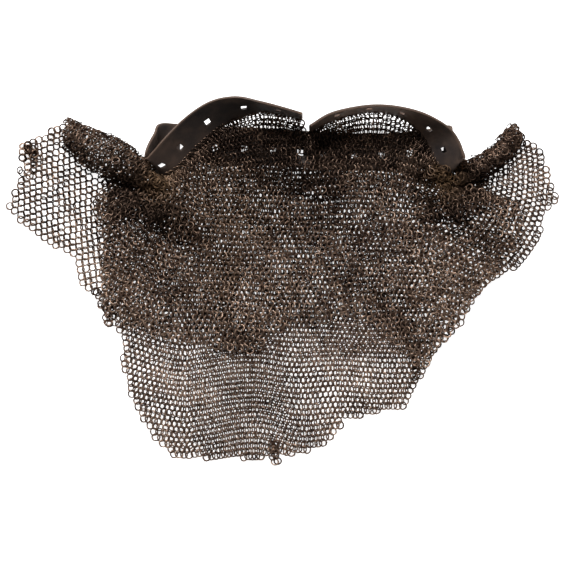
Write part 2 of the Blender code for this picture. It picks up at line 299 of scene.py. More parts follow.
# Neck strap, as in the solid, with two more stations at its turns and with arches
# that stand a little more upright. Columns: x, y, z, bearing, lean
STRAP_STATIONS = (
    (22, 179, 10, 60, 92),
    (-2, 184, 14, 80, 90),
    (-25, 186, 17, 95, 85),
    (-47, 179, 18, 108, 66),
    (-67, 169, 17, 121, 53),
    (-85, 155, 15, 138, 47),
    (-102, 138, 13, 151, 44),
    (-117, 123, 12, 162, 43),
    (-131, 116, 11, 142, 54),
    (-141, 121, 9, 103, 54),
    (-140, 128, 7.5, 90, 42),
    (-139, 134, 6, 85, 30),
    (-120, 133, 2, 87, 9),
    (-76, 131, 1.2, 90, 0),
    (-28, 129, 1.2, 90, 0),
    (19, 126, 1.2, 90, 0),
    (69, 123, 1.2, 90, 0),
    (118, 123, 1.2, 90, 0),
    (160, 127, 2, 90, 6),
    (181, 132, 5, 86, 26),
    (185, 127, 6.5, 88, 36),
    (188, 121, 8, 80, 46),
    (181, 114, 10, 40, 56),
    (168, 131, 12, 14, 44),
    (160, 148, 13, 20, 46),
    (150, 163, 15, 36, 66),
    (134, 178, 17, 58, 84),
    (107, 186, 18, 78, 91),
    (80, 184, 17, 92, 91),
    (52, 176, 14, 104, 89),
    (30, 165, 10, 118, 91),
)
PATH_SAMPLES = 1200
STRAP_WIDTH = 42.0
STRAP_THICKNESS = 2.4
STRAP_CROWN = 1.5          # how far its middle bulges where it stands upright
SLOT_LENGTH = 7.4          # across the strap
SLOT_WIDTH = 6.2           # along it
SLOT_RISE = 17.6           # middle of a slot above the strap's lower edge
SLOT_PLACES = (28, 66, 110, 152, 181, 216, 252, 288, 320, 352, 382,
               408, 441, 472, 503, 540, 574, 607, 636, 672, 708, 744)
FINE_STEP = 2.6            # length of the strap's quads, about
CROSS_PARTS = (4, 3, 7)    # quads across it: below, beside and above the slots
BEVEL = 0.45               # of the strap's edges
WEAR_REACH = 3.0           # how far the paler edges reach in
FRAY_REACH = 5.0           # and the frayed end
# Painted sheen: where the leather is painted paler brown. Columns: place along the strap, reach,
# amount
STRAP_SHEENS = ((15, 25, 0.24), (205, 40, 0.24), (690, 50, 0.8), (742, 36, 0.9))
NECK_SIDE_SHEEN = 0.08       # share of that painted sheen on the side towards the neck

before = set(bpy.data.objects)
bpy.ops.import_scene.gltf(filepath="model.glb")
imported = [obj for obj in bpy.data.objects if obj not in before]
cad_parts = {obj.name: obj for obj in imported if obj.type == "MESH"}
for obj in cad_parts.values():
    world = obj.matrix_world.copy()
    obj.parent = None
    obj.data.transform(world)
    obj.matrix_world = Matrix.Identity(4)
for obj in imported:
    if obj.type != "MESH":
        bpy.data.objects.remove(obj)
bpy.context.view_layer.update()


# ---- helpers

def smooth_path(stations, places):
    """Catmull-Rom spline through the rows of stations, read at places."""
    rows = np.asarray(stations, dtype=float)
    padded = np.vstack([2 * rows[0] - rows[1], rows, 2 * rows[-1] - rows[-2]])
    places = np.clip(np.asarray(places, dtype=float), 0, len(rows) - 1 - 1e-9)
    first = places.astype(int)
    t = (places - first)[:, None]
    a, b, c, d = (padded[first + k] for k in range(4))
    return 0.5 * (2 * b + (c - a) * t + (2 * a - 5 * b + 4 * c - d) * t ** 2
                  + (3 * b - a - 3 * c + d) * t ** 3)


def unit(vectors):
    return vectors / np.linalg.norm(vectors, axis=-1, keepdims=True)


def lengths_along(line):
    """How far each point of a line lies from its start."""
    steps = np.linalg.norm(np.diff(line, axis=0), axis=1)
    return np.concatenate([[0], np.cumsum(steps)])


def read_along(at, length, values):
    """Rows of values, given at each length, read at the lengths in at."""
    return np.column_stack([np.interp(at, length, column) for column in values.T])


def nearest(values, wanted):
    return int(np.argmin(np.abs(values - wanted)))


def make_mesh(name, points, faces, attributes, material, node):
    """A shaded piece of quads, its points in millimetres, that stands for a node."""
    points = np.asarray(points, dtype=np.float32) * MM
    faces = np.asarray(faces, dtype=np.int32)
    mesh = bpy.data.meshes.new(name)
    mesh.vertices.add(len(points))
    mesh.vertices.foreach_set("co", points.ravel())
    mesh.loops.add(faces.size)
    mesh.loops.foreach_set("vertex_index", faces.ravel())
    mesh.polygons.add(len(faces))
    starts = np.arange(len(faces), dtype=np.int32) * faces.shape[1]
    mesh.polygons.foreach_set("loop_start", starts)
    mesh.update(calc_edges=True)
    for key, values in attributes.items():
        layer = mesh.attributes.new(key, "FLOAT", "POINT")
        layer.data.foreach_set("value", np.asarray(values, dtype=np.float32))
    mesh.materials.append(material)
    mesh.shade_smooth()
    piece = bpy.data.objects.new(name, mesh)
    bpy.context.scene.collection.objects.link(piece)
    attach(piece, "root")
    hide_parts(node)
    return piece


# ---- materials

class Surface:
    """A principled material, and short names for the nodes that feed it."""

    def __init__(self, name):
        self.material = bpy.data.materials.new(name)
        self.material.use_nodes = True
        self.nodes = self.material.node_tree.nodes
        self.links = self.material.node_tree.links
        self.shader = self.nodes["Principled BSDF"]
        self.place = self.nodes.new("ShaderNodeTexCoord").outputs["Object"]

    def feed(self, socket, value):
        """Gives a socket another node's output, a colour or a number."""
        if isinstance(value, bpy.types.NodeSocket):
            self.links.new(value, socket)
        elif isinstance(value, tuple):
            socket.default_value = (*value, 1)
        else:
            socket.default_value = value

    def set(self, name, value):
        self.feed(self.shader.inputs[name], value)

    def attribute(self, name):
        node = self.nodes.new("ShaderNodeAttribute")
        node.attribute_name = name
        return node.outputs["Fac"]

    def noise(self, label, scale, detail):
        node = self.nodes.new("ShaderNodeTexNoise")
        node.label = label
        node.inputs["Scale"].default_value = scale
        node.inputs["Detail"].default_value = detail
        self.links.new(self.place, node.inputs["Vector"])
        return node.outputs["Fac"]

    def cracks(self, scale):
        """Distance to the edges of a pattern of cells."""
        node = self.nodes.new("ShaderNodeTexVoronoi")
        node.feature = "DISTANCE_TO_EDGE"
        node.inputs["Scale"].default_value = scale
        self.links.new(self.place, node.inputs["Vector"])
        return node.outputs["Distance"]

    def calculate(self, operation, *values):
        """Result of a Math node, held between 0 and 1."""
        node = self.nodes.new("ShaderNodeMath")
        node.operation = operation
        node.use_clamp = True
        for socket, value in zip(node.inputs, values):
            self.feed(socket, value)
        return node.outputs["Value"]

    def ramp(self, value, stops):
        node = self.nodes.new("ShaderNodeValToRGB")
        elements = node.color_ramp.elements
        while len(elements) < len(stops):
            elements.new(0.5)
        for element, (position, colour) in zip(elements, stops):
            element.position = position
            element.color = (*colour, 1)
        self.links.new(value, node.inputs["Fac"])
        return node.outputs["Color"]

    def mix(self, share, first, second):
        """The first colour, and the second one where share is 1."""
        node = self.nodes.new("ShaderNodeMix")
        node.data_type = "RGBA"
        self.feed(node.inputs["Factor"], share)
        self.feed(node.inputs["A"], first)
        self.feed(node.inputs["B"], second)
        return node.outputs["Result"]

    def bump(self, height, strength, distance):
        node = self.nodes.new("ShaderNodeBump")
        node.inputs["Strength"].default_value = strength
        node.inputs["Distance"].default_value = distance
        self.links.new(height, node.inputs["Height"])
        self.set("Normal", node.outputs["Normal"])


def make_iron():
    """Dark patinated iron wire, each ring a little different, rusty in places."""
    iron = Surface("iron_rings")
    # tint is each ring's own tone, with painted shade and painted light added to it
    tint = iron.attribute("tint")
    rust = iron.attribute("rust")
    patina = iron.noise("patina", scale=260, detail=3)
    pitting = iron.noise("pitting", scale=1400, detail=4)

    brighter = iron.calculate("MULTIPLY_ADD", patina, 2 * PATINA, -PATINA)
    colour = iron.ramp(iron.calculate("ADD", tint, brighter), IRON_RAMP)
    rusty = iron.calculate("MULTIPLY", rust, iron.calculate("ADD", pitting, RUST_COVER))
    iron.set("Base Color", iron.mix(rusty, colour, RUST))

    rough = iron.calculate("MULTIPLY_ADD", pitting, PITTING, IRON_ROUGHNESS)
    rougher = iron.calculate("MULTIPLY", rust, RUST_ROUGHNESS)
    iron.set("Roughness", iron.calculate("ADD", rough, rougher))
    iron.set("Metallic", 0.9)
    iron.set("Specular Tint", IRON_GLINT)
    iron.bump(pitting, strength=0.35, distance=0.2 * MM)
    return iron.material


def make_leather():
    """Old black-brown leather, with a painted sheen that makes it browner in places, and paler
    along its edges.
    """
    leather = Surface("old_leather")
    wear = leather.attribute("wear")
    fray = leather.attribute("fray")
    painted_sheen = leather.attribute("painted_sheen")
    stains = leather.noise("stains", scale=38, detail=4)
    grain = leather.noise("grain", scale=900, detail=5)

    colour = leather.ramp(stains, LEATHER_RAMP)
    # painted sheen, paler brown in places along the strap
    sheen_share = leather.calculate("MULTIPLY", painted_sheen, stains)
    colour = leather.mix(sheen_share, colour, LEATHER_SHEEN)
    worn = leather.calculate("MULTIPLY", wear, leather.calculate("ADD", stains, WORN_COVER))
    colour = leather.mix(worn, colour, LEATHER_WORN)
    leather.set("Base Color", leather.mix(fray, colour, LEATHER_FRAYED))

    rough = leather.calculate("MULTIPLY_ADD", stains, STAINED_ROUGHNESS, LEATHER_ROUGHNESS)
    leather.set("Roughness", rough)
    leather.set("Specular IOR Level", 0.2)
    height = leather.calculate("MULTIPLY", grain, leather.cracks(scale=420))
    leather.bump(height, strength=0.6, distance=0.6 * MM)
    return leather.material


# ---- rings

class Wall:
    """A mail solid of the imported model, read by rays along Z."""

    def __init__(self, node):
        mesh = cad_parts[node].data
        points = [Vector(vertex.co) / MM for vertex in mesh.vertices]
        faces = [tuple(face.vertices) for face in mesh.polygons]
        self.tree = BVHTree.FromPolygons(points, faces)
        low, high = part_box(node)
        self.lowest = low[2] / MM - RAY_START
        self.highest = high[2] / MM + RAY_START

    def top(self, x, y):
        """Height of the wall's upper face at x, y, or None beside it."""
        hit = self.tree.ray_cast(Vector((x, y, self.highest)), Vector((0, 0, -1)))[0]
        return None if hit is None else hit.z

    def middle(self, x, y):
        """Height halfway through the wall at x, y, or None beside it."""
        top = self.top(x, y)
        if top is None:
            return None
        bottom = self.tree.ray_cast(Vector((x, y, self.lowest)), Vector((0, 0, 1)))[0]
        return 0.5 * (top + bottom.z)

    def middle_near(self, x, y):
        """Height of the wall at x, y, or where it starts nearer the hem or beside a slit."""
        for aside, drop in NEAR_PLACES:
            z = self.middle(x + aside, y - drop)
            if z is not None:
                return z
        return None

    def holds(self, x, y, margin):
        """True if a circle of this radius round x, y is over the wall."""
        for probe in range(WALL_PROBES):
            turn = 2 * pi * probe / WALL_PROBES
            if self.middle(x + margin * cos(turn), y + margin * sin(turn)) is None:
                return False
        return True

    def normal(self, x, y, z):
        """Upward normal of the sheet at x, y, where its height is z."""
        step = SLOPE_STEP
        around = [self.middle(x + aside, y + ahead)
                  for aside, ahead in ((step, 0), (-step, 0), (0, step), (0, -step))]
        right, left, above, below = (z if height is None else height for height in around)
        slope_x, slope_y = (left - right) / (2 * step), (below - above) / (2 * step)
        return Vector((slope_x, slope_y, 1)).normalized()


def ring_template():
    """Angles round the ring and round the wire of each point, and the faces."""
    around = np.repeat(np.arange(RING_STEPS), WIRE_STEPS) * 2 * pi / RING_STEPS
    about = np.tile(np.arange(WIRE_STEPS), RING_STEPS) * 2 * pi / WIRE_STEPS
    faces = []
    for i in range(RING_STEPS):
        for j in range(WIRE_STEPS):
            here, there = i * WIRE_STEPS, (i + 1) % RING_STEPS * WIRE_STEPS
            j_next = (j + 1) % WIRE_STEPS
            faces.append((here + j, there + j, there + j_next, here + j_next))
    return around, about, np.array(faces)


def build_rings(centres, axes, rows, rng):
    """Points of all rings: axes are their normals, rows the directions in plane."""
    around, about, _ = ring_template()
    count = len(centres)
    radius = RING_RADIUS * rng.normal(1, RADIUS_SPREAD, count)[:, None]
    first = unit(rows - (rows * axes).sum(1)[:, None] * axes)
    second = np.cross(axes, first)
    angle = around[None] + rng.uniform(0, 2 * pi, count)[:, None]
    oval = rng.normal(0, OVAL_SPREAD, count)[:, None]
    half = 0.5 * rng.normal(1, WIRE_SPREAD, count)[:, None]
    lap = 1 + LAP * np.exp(-((around[None] - pi) / LAP_REACH) ** 2)
    reach = radius + WIRE_WIDTH * half * lap * np.cos(about[None])
    lift = WIRE_THICKNESS * half * lap * np.sin(about[None])
    return (centres[:, None]
            + ((1 + oval) * reach * np.cos(angle))[..., None] * first[:, None]
            + ((1 - oval) * reach * np.sin(angle))[..., None] * second[:, None]
            + lift[..., None] * axes[:, None])


def add_ring_pieces(name, rings, tint, rust, material, node, rng):
    """Joined meshes of rings, split so that none grows too large."""
    points = build_rings(*rings, rng)
    around, _, faces = ring_template()
    pieces = int(np.ceil(len(points) / RINGS_PER_PIECE))
    for piece, members in enumerate(np.array_split(np.arange(len(points)), pieces), 1):
        first = np.arange(len(members)) * len(around)
        quads = (faces[None] + first[:, None, None]).reshape(-1, 4)
        attributes = {"tint": np.repeat(tint[members], len(around)),
                      "rust": np.repeat(rust[members], len(around))}
        make_mesh(f"{name}_{piece}", points[members].reshape(-1, 3), quads,
                  attributes, material, node)


class Row:
    """One row of a weave, its ring centres seen from above.

    lean: how far its rings lean along the row, to one side and the other by turns.
    margin: how far they stay inside the wall, None where they hang or close the slit.
    loose: how far they stray from the weave's order, 1 for mail that lies taut.
    """

    def __init__(self, places, odd, lean, margin=None, loose=1.0):
        self.places, self.odd = places, odd
        self.lean, self.margin, self.loose = lean, margin, loose


def lay_rings(wall, rows, rng, region=None):
    """Rings of a weave on its wall: centres, normals, row directions."""
    rings = []
    for row in rows:
        ways = unit(np.gradient(row.places, axis=0))
        side = 1 if row.odd else -1
        for place, way in zip(row.places, ways):
            x, y = place + row.loose * rng.normal(0, JITTER, 2)
            lean, nod = row.loose * rng.normal(0, LEAN_SPREAD, 2)
            slack = rng.uniform(*SLACK)
            if region is not None and not region(x, y):
                continue
            z = wall.middle_near(x, y) if row.margin is None else wall.middle(x, y)
            if z is None:
                continue
            lean += row.lean
            if row.margin is not None:
                if not wall.holds(x, y, row.margin + slack):
                    continue
                if not wall.holds(x, y, row.margin + RIM):
                    lean *= RIM_LEAN
            rings.append(lean_ring(wall, (x, y, z), way, side * lean, nod))
    return drop_loose(*split_rings(rings))


def lean_ring(wall, centre, way, lean, nod):
    """Centre, normal and row direction of one ring that leans on its wall."""
    normal = wall.normal(*centre)
    row = Vector((way[0], way[1], 0))
    row = (row - row.dot(normal) * normal).normalized()
    axis = normal + row * tan(radians(lean)) + normal.cross(row) * tan(radians(nod))
    return tuple(centre), tuple(axis.normalized()), tuple(row)


def split_rings(rings):
    """Centres, normals and row directions of a list of rings, as three arrays."""
    rings = np.array(rings)
    return rings[:, 0], rings[:, 1], rings[:, 2]


def join(*parts):
    """Several sets of rings as one."""
    return tuple(np.vstack(piece) for piece in zip(*parts))


def drop_loose(centres, axes, rows):
    """Leaves out rings that are linked to too few others."""
    linked = np.zeros(len(centres), dtype=int)
    for start in range(0, len(centres), LINK_BATCH):
        batch = slice(start, start + LINK_BATCH)
        away = np.linalg.norm(centres[batch, None] - centres[None], axis=2)
        linked[batch] = (away < LINK_REACH).sum(1) - 1
    kept = linked >= LEAST_LINKS
    return centres[kept], axes[kept], rows[kept]


def rest_on_floor(centres, axes):
    """Lifts rings whose wire would reach below the ground."""
    tilt = np.sqrt(1 - np.minimum(axes[:, 2] ** 2, 1))
    reach = (RING_RADIUS + WIRE_WIDTH) * tilt + 0.5 * WIRE_THICKNESS
    centres[:, 2] = np.maximum(centres[:, 2], reach)
    return centres


def push(places, sums, phases, height):
    """Shifts places along X and along Y by two sums of sine waves."""
    x, y = places.T
    phases = iter(phases)
    shifts = []
    for waves in sums:
        shifts.append(sum(share * np.sin(x / run_x + y / run_y + next(phases))
                          for run_x, run_y, share in waves))
    return places + height * np.column_stack(shifts)


def wave(places, seed, height):
    """Shifts places by soft waves, as loose mail lies."""
    phases = np.random.default_rng(seed).uniform(0, 2 * pi, sum(map(len, WAVES)))
    return push(places, WAVES, phases, height)


def ruffle(places, height):
    """Pushes places together and apart in short waves, as crowded mail lies."""
    return push(places, RUFFLES, RUFFLE_PHASES, height)


def heap(x, y, long, short, turn, lowest, highest, count, rng):
    """A little tangle of rings: centres, normals and row directions."""
    spread = np.clip(rng.normal(0, HEAP_SPREAD, (count, 2)), -1, 1) * (long, short)
    turn = radians(turn)
    x = x + spread[:, 0] * cos(turn) - spread[:, 1] * sin(turn)
    y = y + spread[:, 0] * sin(turn) + spread[:, 1] * cos(turn)
    z = rng.uniform(lowest, highest, count)
    tilt_x = rng.normal(0, HEAP_TILT, count)
    tilt_y = rng.normal(0, HEAP_TILT, count)
    axes = unit(np.column_stack([tilt_x, tilt_y, np.ones(count)]))
    rows = unit(rng.normal(0, 1, (count, 3)))
    return np.column_stack([x, y, z]), axes, rows


def doubling(walls, x, y, long, short, turn, row_turn, lift, rng):
    """An oval of mail that lies doubled on the sheets below it."""
    turn, row_turn = radians(turn), radians(row_turn)
    along = np.array((cos(row_turn), sin(row_turn)))
    down = np.array((sin(row_turn), -cos(row_turn)))
    rings = []
    for index in range(-DOUBLING_STEPS, DOUBLING_STEPS + 1):
        odd = index % 2
        side = 1 if odd else -1
        for step in range(-DOUBLING_STEPS, DOUBLING_STEPS + 1):
            place = DOUBLING_PITCH * (step + 0.5 * odd) * along + DOUBLING_PITCH * index * down
            place = place + rng.normal(0, DOUBLING_JITTER, 2)
            lean, nod = rng.normal(0, DOUBLING_LEAN_SPREAD, 2)
            out_long = place @ (cos(turn), sin(turn)) / long
            out_short = place @ (-sin(turn), cos(turn)) / short
            if np.hypot(out_long, out_short) > 1:
                continue
            at = (x + place[0], y + place[1])
            tops = [wall.top(*at) for wall in walls]
            top = max((height for height in tops if height is not None), default=None)
            if top is not None:
                rings.append(lean_ring(walls[0], (*at, top + lift), along, side * LEAN + lean, nod))
    return split_rings(rings)


# ---- tint of the mail

def depths(centres):
    """How far each ring lies below the highest ring beside it."""
    tree = KDTree(len(centres))
    for index, (x, y, _) in enumerate(centres):
        tree.insert((x, y, 0), index)
    tree.balance()
    highest = [max(centres[near, 2] for _, near, _ in tree.find_range((x, y, 0), DEPTH_REACH))
               for x, y, _ in centres]
    return np.array(highest) - centres[:, 2]


def tints(centres, rng, tint):
    """How bright each ring is: slow changes, a painted light that brightens the hem, painted shade
    and chance.
    """
    x, y, _ = centres.T
    broad = np.sin(x / BROAD_REACH[0] + BROAD_PHASE) * np.cos(y / BROAD_REACH[1])
    narrow = np.sin(y / NARROW_REACH[1] + x / NARROW_REACH[0])
    # painted light, brighter towards the hem
    painted_light = HEM_LIGHT * np.clip((HEM_LIGHT_TOP - y) / HEM_LIGHT_REACH, 0, 1)
    painted_shade = np.zeros(len(centres))
    # painted shade, in soft spots where shadow falls on the mail
    for at_x, at_y, reach_x, reach_y, amount in PAINTED_SHADES:
        away = np.hypot((x - at_x) / reach_x, (y - at_y) / reach_y)
        painted_shade = np.maximum(painted_shade, amount * np.exp(-away ** 2))
    chance = rng.normal(0, TINT_SPREAD, len(centres))
    return np.clip(tint + BROAD_TINT * broad + NARROW_TINT * narrow + painted_light - painted_shade + chance, 0, 1)


def rusts(centres):
    rust = np.zeros(len(centres))
    for x, y, size, amount in RUST_SPOTS:
        away = np.hypot(centres[:, 0] - x, centres[:, 1] - y) / size
        rust = np.maximum(rust, amount * np.exp(-away ** 2))
    return rust


# ---- back of mail

def columns_of(table):
    """Column places along a row, with the pitch that the table gives at each place."""
    places, pitches = zip(*table)
    columns = [places[0]]
    while columns[-1] < places[-1]:
        columns.append(columns[-1] + np.interp(columns[-1], places, pitches))
    return np.array(columns)


def fan_angles(radius, odd, pitch, seams):
    """Angles of the rings of one row in a fan, from its first seam on.

    Each gore, from seam to seam, holds a whole number of rings, so the weave
    gains a ring here and there as the fan widens. The ring on the first seam
    belongs to the straight part of the row.
    """
    if radius == 0:
        return np.array([])
    reach = max(radius, SMALLEST_FAN)
    angles = []
    for start, stop in zip(seams, seams[1:]):
        count = max(1, round((stop - start) * reach / pitch))
        angles += [start + (k + 0.5 * odd) * (stop - start) / count for k in range(count)]
    angles = np.array(angles)
    return angles[angles > 0.5 / reach]


def back_rows(shift):
    """The back weave: straight below the strap, and swung round at both sides."""
    columns = columns_of(BACK_PITCHES)
    hem = smooth_path(HEM_WAVE, np.linspace(0, len(HEM_WAVE) - 1, HEM_WAVE_SAMPLES))
    left, right = np.array(BACK_LEFT) + shift, np.array(BACK_RIGHT) + shift
    rows = []
    for index in range(BACK_ROWS):
        odd = index % 2
        radius = index * ROW_PITCH
        x = (0.5 * (columns[1:] + columns[:-1]) if odd else columns) + shift[0]
        y = np.interp(x, (left[0], right[0]), (left[1], right[1])) - radius
        fade = np.clip((HEM_WAVE_TOP - y) / HEM_WAVE_FADE, 0, 1)
        y = y + fade * np.interp(x - shift[0], hem[:, 0], hem[:, 1])
        straight = np.column_stack([x, y])
        turn = fan_angles(radius, odd, LEFT_FAN_PITCH, np.radians(LEFT_SEAMS))[::-1]
        swing_left = left + radius * np.column_stack([-np.sin(turn), -np.cos(turn)])
        turn = fan_angles(radius, odd, RIGHT_FAN_PITCH, np.radians(RIGHT_SEAMS))
        swing_right = right + radius * np.column_stack([np.sin(turn), -np.cos(turn)])
        places = wave(np.vstack([swing_left, straight, swing_right]), BACK_WAVES_SEED, BACK_WAVES)
        rows.append(Row(places, odd, LEAN, margin=None if index == 0 else BACK_MARGIN))
    return rows


def wing_rows(shift):
    """The left wing's weave, pulled wide open and slowly bending."""
    along, down = np.array(WING_ALONG), np.array(WING_DOWN)
    bend = radians(WING_BEND) / WING_BEND_REACH
    steps = np.arange(-WING_STEPS, WING_STEPS + 1)
    rows = []
    for index in steps:
        odd = index % 2
        x, y = ((steps + 0.5 * odd)[:, None] * along + index * down).T
        bent = np.column_stack([x + 0.5 * bend * y ** 2, y + bend * x * y])
        places = wave(np.array(WING_CENTRE) + bent + shift, WING_WAVES_SEED, WING_WAVES)
        places = ruffle(places, WING_RUFFLE)
        rows.append(Row(places, odd, WING_LEAN, margin=BACK_MARGIN))
    return rows


def in_wing(x, y):
    return x <= WING_CORNER[0] and y >= WING_CORNER[1]


def dress_back(shift):
    wall = Wall("mail_back")
    rng = np.random.default_rng(SEED + BACK_SEED)
    body = lay_rings(wall, back_rows(shift), rng, lambda x, y: not in_wing(x, y))
    wing = lay_rings(wall, wing_rows(shift), rng, in_wing)
    heaps = [heap(*place, rng) for place in HEAPS]
    centres, axes, rows = drop_loose(*join(body, wing, *heaps))
    return rest_on_floor(centres, axes), axes, rows


# ---- front of mail

def column_shares(index, odd):
    """Where the rings of one front row lie: 0 at the left edge, 1 at the right."""
    right = int(np.interp(index, WIDENING_ROWS, RIGHT_COLUMNS))
    left_part = (np.arange(LEFT_COLUMNS) + 0.5 * odd) / LEFT_COLUMNS
    right_part = (np.arange(right) + 0.5 * odd) / (right - 0.5)
    return 0.5 * np.concatenate([left_part, 1 + right_part])


def split_arches(strap):
    """The left and right arches of the strap's line, each from left to right."""
    left = np.argmin(np.where(strap[:, 0] < 0, strap[:, 1], np.inf))
    right = np.argmin(np.where(strap[:, 0] > 0, strap[:, 1], np.inf))
    return strap[:left + 1][::-1], strap[right:][::-1]


def arch_line(arches, shares):
    """The strap's line along both arches: the first half of the shares on the left one."""
    left_part = 2 * shares[shares < 0.5]
    right_part = (2 * shares[shares >= 0.5] - 1) ** RIGHT_SPREAD
    lines = []
    for arch, part in zip(arches, (left_part, right_part)):
        length = lengths_along(arch[:, :2])
        lines.append(read_along(part * length[-1], length, arch))
    return np.vstack(lines)


def section_line(section, shares):
    """Places along one section: a shallow arc between its two ends, with its dip."""
    left_x, left_y, right_x, right_y, rise, dip = section
    x = left_x + (right_x - left_x) * shares
    y = left_y + (right_y - left_y) * shares + rise * (1 - (2 * shares - 1) ** 2)
    y -= dip * np.exp(-((shares - 0.5) / DIP_REACH) ** 2)
    return np.column_stack([x, y])


def front_steps():
    """For each front row: its index, the sections above and below, its share of the way."""
    index, above = 0, None
    for *below, count in FRONT_ROWS:
        for step in range(count):
            yield index, above, below, step / count
            index += 1
        above = below


def front_rows(arches, shift):
    """The front weave, from its second row on: hang_rings makes the first one."""
    slit = 0.5 * (arches[0][-1, 0] + arches[1][0, 0])
    rows = []
    for index, above, below, part in list(front_steps())[1:]:
        odd = index % 2
        shares = column_shares(index, odd)
        if above is None:
            upper = arch_line(arches, shares)[:, :2]
        else:
            upper = section_line(above, shares) + shift
        lower = section_line(below, shares) + shift
        places = wave(upper + part * (lower - upper), FRONT_WAVES_SEED, FRONT_WAVES)
        crowding = np.clip((index - RUFFLE_START) / RUFFLE_ROWS, 0, 1)
        places = ruffle(places, FRONT_RUFFLE * crowding)
        lean = FRONT_LEAN + CROWDED_LEAN * np.clip(1 - index / CROWDED_ROWS, 0, 1)
        if above is not None:
            loose = np.interp(index, WIDENING_ROWS, (1, FRONT_LOOSE))
            rows.append(Row(places, odd, lean, FRONT_MARGIN, loose))
        elif index == 1:
            rows.append(Row(places, odd, lean))
        else:
            away = places[:, 0] - slit
            places[:, 0] -= SLIT_PULL * away * np.exp(-(away / SLIT_REACH) ** 2)
            rows.append(Row(places[away <= -SLIT_REACH], odd, lean, TOP_MARGIN))
            rows.append(Row(places[np.abs(away) < SLIT_REACH], odd, lean))
            rows.append(Row(places[away >= SLIT_REACH], odd, lean, TOP_MARGIN))
    return rows


def hang_rings(arches, rng):
    """The first row: each ring passes through the leather, half of it before the face."""
    line = arch_line(arches, column_shares(0, 0))
    centres, faces = line[:, :3], unit(line[:, 3:])
    ways = unit(np.gradient(centres, axis=0))
    lean = np.radians(rng.normal(HANGING_LEAN, HANGING_LEAN_SPREAD, len(line)))
    faces = unit(faces + (0, 0, HANGING_UP))
    axes = unit(faces - np.tan(lean)[:, None] * ways)
    centres = centres + HANGING_OUT * faces + rng.normal(0, HANGING_JITTER, centres.shape)
    return centres, axes, ways


def dress_front(strap, shift):
    wall, ground = Wall("mail_front"), Wall("mail_back")
    rng = np.random.default_rng(SEED + FRONT_SEED)
    arches = split_arches(strap)
    doubled = [doubling((wall, ground), *oval, rng) for oval in DOUBLINGS]
    hanging = hang_rings(arches, rng)
    laid = lay_rings(wall, front_rows(arches, shift), rng)
    return join(hanging, *doubled, laid)


# ---- folds and all mail

def fold_ring(ground, place, angle, side, rng):
    """Centre, normal and row direction of one ring, this angle round a fold."""
    x, y, rise, way_x, way_y, in_x, in_y = place
    x, y = np.array((x, y)) + rng.normal(0, FOLD_JITTER, 2)
    floor = ground.top(x, y)
    if floor is None:
        floor = FOLD_BARE_FLOOR
    row = Vector((way_x, way_y, 0)).normalized()
    normal = (Vector((0, 0, 1)) * sin(angle) - Vector((in_x, in_y, 0)) * cos(angle)).normalized()
    normal = (normal + Vector((0, 0, FOLD_UP))).normalized()
    lean, nod = rng.normal(0, FOLD_LEAN_SPREAD, 2)
    axis = normal + row * tan(radians(lean + side * LEAN))
    axis += normal.cross(row) * tan(radians(nod))
    z = floor + FOLD_LIFT + max(rise, FOLD_LEAST_RISE) + rng.normal(0, FOLD_RISE_SPREAD)
    return (x, y, z), tuple(axis.normalized()), tuple(row)


def dress_fold(sections, shift, seed):
    """A rolled fold, covered with rows of rings from its outer foot to its lip."""
    ground = Wall("mail_back")
    rng = np.random.default_rng(SEED + seed)
    fine = smooth_path(sections, np.linspace(0, len(sections) - 1, FOLD_SAMPLES))
    outer, inner, height = fine[:, :2], fine[:, 2:4], fine[:, 4]
    row_count = int(round(FOLD_ARC / FOLD_ROW_PITCH))
    rings = []
    for index in range(row_count + 1):
        odd = index % 2
        angle = radians(FOLD_TURN * index / row_count)
        line = outer + (0.5 - 0.5 * cos(angle)) * (inner - outer) + shift
        rise = (height - FOLD_SINK) * sin(angle)
        length = lengths_along(line)
        path = np.column_stack([line, rise, np.gradient(line, axis=0), unit(inner - outer)])
        places = np.arange(0.5 * odd * FOLD_PITCH, length[-1], FOLD_PITCH)
        for place in read_along(places, length, path):
            rings.append(fold_ring(ground, place, angle, 1 if odd else -1, rng))
    return split_rings(rings)


def make_mail(sheets, material):
    """All rings as meshes: those that lie under others get a painted shade."""
    rng = np.random.default_rng(SEED)
    deep = depths(np.vstack([rings[0] for _, _, _, rings in sheets]))
    # painted shade: rings under other rings are painted darker
    shade = DEPTH_SHADE * np.clip((deep - DEPTH_START) / DEPTH_RANGE, 0, 1)
    start = 0
    for node, name, tint, rings in sheets:
        centres = rings[0]
        stop = start + len(centres)
        add_ring_pieces(name, rings, tints(centres, rng, tint - shade[start:stop]),
                        rusts(centres), material, node, rng)
        start = stop


# ---- neck strap

def strap_path():
    """Fine path of the strap: lower edge, width direction, length, outward normal."""
    fine = np.linspace(0, len(STRAP_STATIONS) - 1, PATH_SAMPLES)
    x, y, z, bearing, lean = np.array(STRAP_STATIONS, dtype=float).T
    bearing, lean = np.radians(bearing), np.radians(lean)
    across = np.column_stack([np.cos(bearing) * np.cos(lean),
                              np.sin(bearing) * np.cos(lean), np.sin(lean)])
    across = smooth_path(across, fine)
    across[:, 2] = np.maximum(across[:, 2], 0)
    across = unit(across)
    edge = smooth_path(np.column_stack([x, y, z]), fine)
    edge[:, 2] = np.maximum(edge[:, 2], 0.5 * STRAP_THICKNESS)
    middle = edge + 0.5 * STRAP_WIDTH * across
    outward = -unit(np.cross(np.gradient(middle, axis=0), across))
    return edge, across, lengths_along(middle), outward


def strap_places(total):
    """Places along the strap: at the sides of the slots, and evenly spread between."""
    sides = [[place - SLOT_WIDTH / 2, place + SLOT_WIDTH / 2] for place in SLOT_PLACES]
    places = [0.0]
    for stop in np.unique(np.concatenate([[0, total]] + sides))[1:]:
        start = places[-1]
        parts = max(1, int(round((stop - start) / FINE_STEP)))
        places += [start + (stop - start) * (k + 1) / parts for k in range(parts)]
    return np.array(places)


